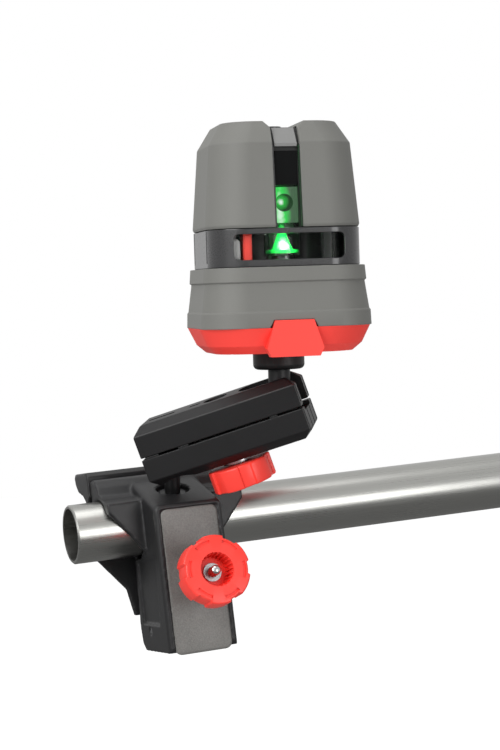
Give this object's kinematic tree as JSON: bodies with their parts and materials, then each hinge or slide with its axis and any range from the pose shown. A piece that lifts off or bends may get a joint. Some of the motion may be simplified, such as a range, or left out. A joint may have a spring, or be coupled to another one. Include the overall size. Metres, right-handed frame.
{
  "type": "laser level on clamp mount",
  "caption": "Self-levelling cross-line laser level on a double-ball arm, held on a round tube by a screw-tightened lever clamp.",
  "frame": {"origin": "centre of the support tube's fixed end", "axes": "+Z is the laser level's plumb axis; the tube runs towards -X from the origin, 2.63 degrees lower at its free end; the clamp's screw knob faces -Y"},
  "size_m": [0.2581, 0.1327, 0.2632],
  "materials": {
    "tube_aluminium": "satin",
    "clamp_black": "fine textured",
    "clamp_panel": "fine textured with a sheen",
    "arm_black": "fine textured",
    "steel": "bright",
    "spring_steel": "plain",
    "knob_red": "satin",
    "base_red": "satin",
    "grey_rubber": "matt",
    "case_black": "satin",
    "gloss_black": "gloss",
    "insert_grey": "matt",
    "clear_glass": "clear",
    "dark_glass": "smoked",
    "prism_glass": "clear",
    "brass": "turned",
    "module_metal": "anodised",
    "alloy_cast": "as cast",
    "board_green": "satin",
    "cell_wrap": "gloss"
  },
  "bodies": {
    "tube": {"support_tube": "tube_aluminium"},
    "clamp": {"clamp_body": "clamp_black", "front_plate": "clamp_panel", "jaw_hinge_pin": "steel"},
    "jaw": {"rear_jaw": "clamp_black"},
    "screw": {"screw_trunnion": "steel", "clamp_screw": "steel", "jaw_spring": "spring_steel"},
    "sleeve": {"knob_sleeve": "steel"},
    "screw_knob": {"clamp_knob": "knob_red", "clamp_knob_nut": "steel"},
    "lower_stud": {"lower_ball_stud": "steel"},
    "arm": {"arm_upper_shell": "arm_black", "arm_lower_shell": "arm_black", "arm_bolt": "steel", "arm_washer": "steel", "arm_spring": "spring_steel"},
    "middle_knob": {"arm_knob": "knob_red", "arm_knob_nut": "steel"},
    "upper_stud": {"upper_ball_stud": "steel", "stud_collar": "arm_black"},
    "laser": {"laser_base": "base_red", "thread_insert": "brass", "lower_grip": "grey_rubber", "lower_housing": "case_black", "middle_band": "case_black", "horizontal_window": "clear_glass", "left_wing": "grey_rubber", "right_wing": "grey_rubber", "upper_core": "case_black", "slot_insert": "insert_grey", "beam_window": "dark_glass", "slot_window": "clear_glass", "chassis": "alloy_cast", "damping_magnet": "steel", "button_switch": "case_black", "circuit_board": "board_green", "battery_cells": "cell_wrap", "battery_contacts": "brass", "door_hinge_pin": "steel", "base_screws": "steel"},
    "ring": {"gimbal_ring": "alloy_cast"},
    "hanging_optics": {"pendulum": "alloy_cast", "front_module": "module_metal", "front_lens": "clear_glass", "cone_module": "module_metal", "pendulum_weight": "brass", "cone_prism": "prism_glass"},
    "lock": {"lock_bar": "case_black", "lock_flag": "knob_red", "lock_slider": "knob_red"},
    "button": {"mode_button": "case_black"},
    "door": {"battery_door": "case_black"}
  },
  "joints": [
    {"name": "clamp_turn", "type": "hinge", "parent": "tube", "child": "clamp", "pos_m": [0, 0, 0], "axis": [0.9989, 0, 0.0459], "continuous": true},
    {"name": "jaw_open", "type": "hinge", "parent": "clamp", "child": "jaw", "pos_m": [-0.2024, -0.01327, -0.06123], "axis": [-0.9989, 0, -0.0459], "range_deg": [0, 15]},
    {"name": "trunnion_swing", "type": "hinge", "parent": "jaw", "child": "screw", "pos_m": [-0.2028, 0.01187, -0.05258], "axis": [0.9989, 0, 0.0459], "range_deg": [0, 9.8]},
    {"name": "sleeve_travel", "type": "slide", "parent": "screw", "child": "sleeve", "axis": [-0.0149, -0.9459, 0.3242], "range_m": [0, 0.0036]},
    {"name": "screw_knob_turn", "type": "hinge", "parent": "sleeve", "child": "screw_knob", "pos_m": [-0.20409, -0.07033, -0.0244], "axis": [-0.0149, -0.9459, 0.3242], "range_deg": [0, 1620]},
    {"name": "lower_swivel", "type": "hinge", "parent": "clamp", "child": "lower_stud", "pos_m": [-0.20564, -0.01182, 0.00935], "axis": [-0.0447, -0.226, 0.9731], "range_deg": [-15, 45]},
    {"name": "lower_tilt", "type": "hinge", "parent": "lower_stud", "child": "arm", "pos_m": [-0.20666, -0.01694, 0.03142], "axis": [-0.5107, -0.8518, -0.1165], "range_deg": [0, 25]},
    {"name": "middle_knob_turn", "type": "hinge", "parent": "arm", "child": "middle_knob", "pos_m": [-0.1832, -0.03218, 0.03997], "axis": [0.3098, -0.0558, -0.9492], "continuous": true},
    {"name": "upper_tilt", "type": "hinge", "parent": "arm", "child": "upper_stud", "pos_m": [-0.15974, -0.04741, 0.04852], "axis": [0.5107, 0.8518, 0.1165], "range_deg": [-28, 36]},
    {"name": "laser_swivel", "type": "hinge", "parent": "upper_stud", "child": "laser", "pos_m": [-0.15974, -0.04741, 0.07812], "axis": [0, 0, 1], "continuous": true},
    {"name": "gimbal_roll", "type": "hinge", "parent": "laser", "child": "ring", "pos_m": [-0.15974, -0.04741, 0.17012], "axis": [0.9816, -0.1908, 0], "range_deg": [-4, 4]},
    {"name": "gimbal_pitch", "type": "hinge", "parent": "ring", "child": "hanging_optics", "pos_m": [-0.15974, -0.04741, 0.17012], "axis": [0.1908, 0.9816, 0], "range_deg": [-4, 4]},
    {"name": "lock_slide", "type": "slide", "parent": "laser", "child": "lock", "axis": [0.1908, 0.9816, 0], "range_m": [0, 0.006]},
    {"name": "mode_button_press", "type": "slide", "parent": "laser", "child": "button", "axis": [0, 0, -1], "range_m": [0, 0.001], "stiffness_N_per_m": 400, "springref_m": -0.0005},
    {"name": "battery_door_open", "type": "hinge", "parent": "laser", "child": "door", "pos_m": [-0.1524, -0.00967, 0.09652], "axis": [-0.9816, 0.1908, 0], "range_deg": [0, 95]}
  ],
  "couplings": [
    {"joint": "screw_knob_turn", "follows": "jaw_open", "ratio": 108},
    {"joint": "trunnion_swing", "follows": "jaw_open", "ratio": 0.65333},
    {"joint": "sleeve_travel", "follows": "jaw_open", "m_per_rad": 0.013751}
  ]
}
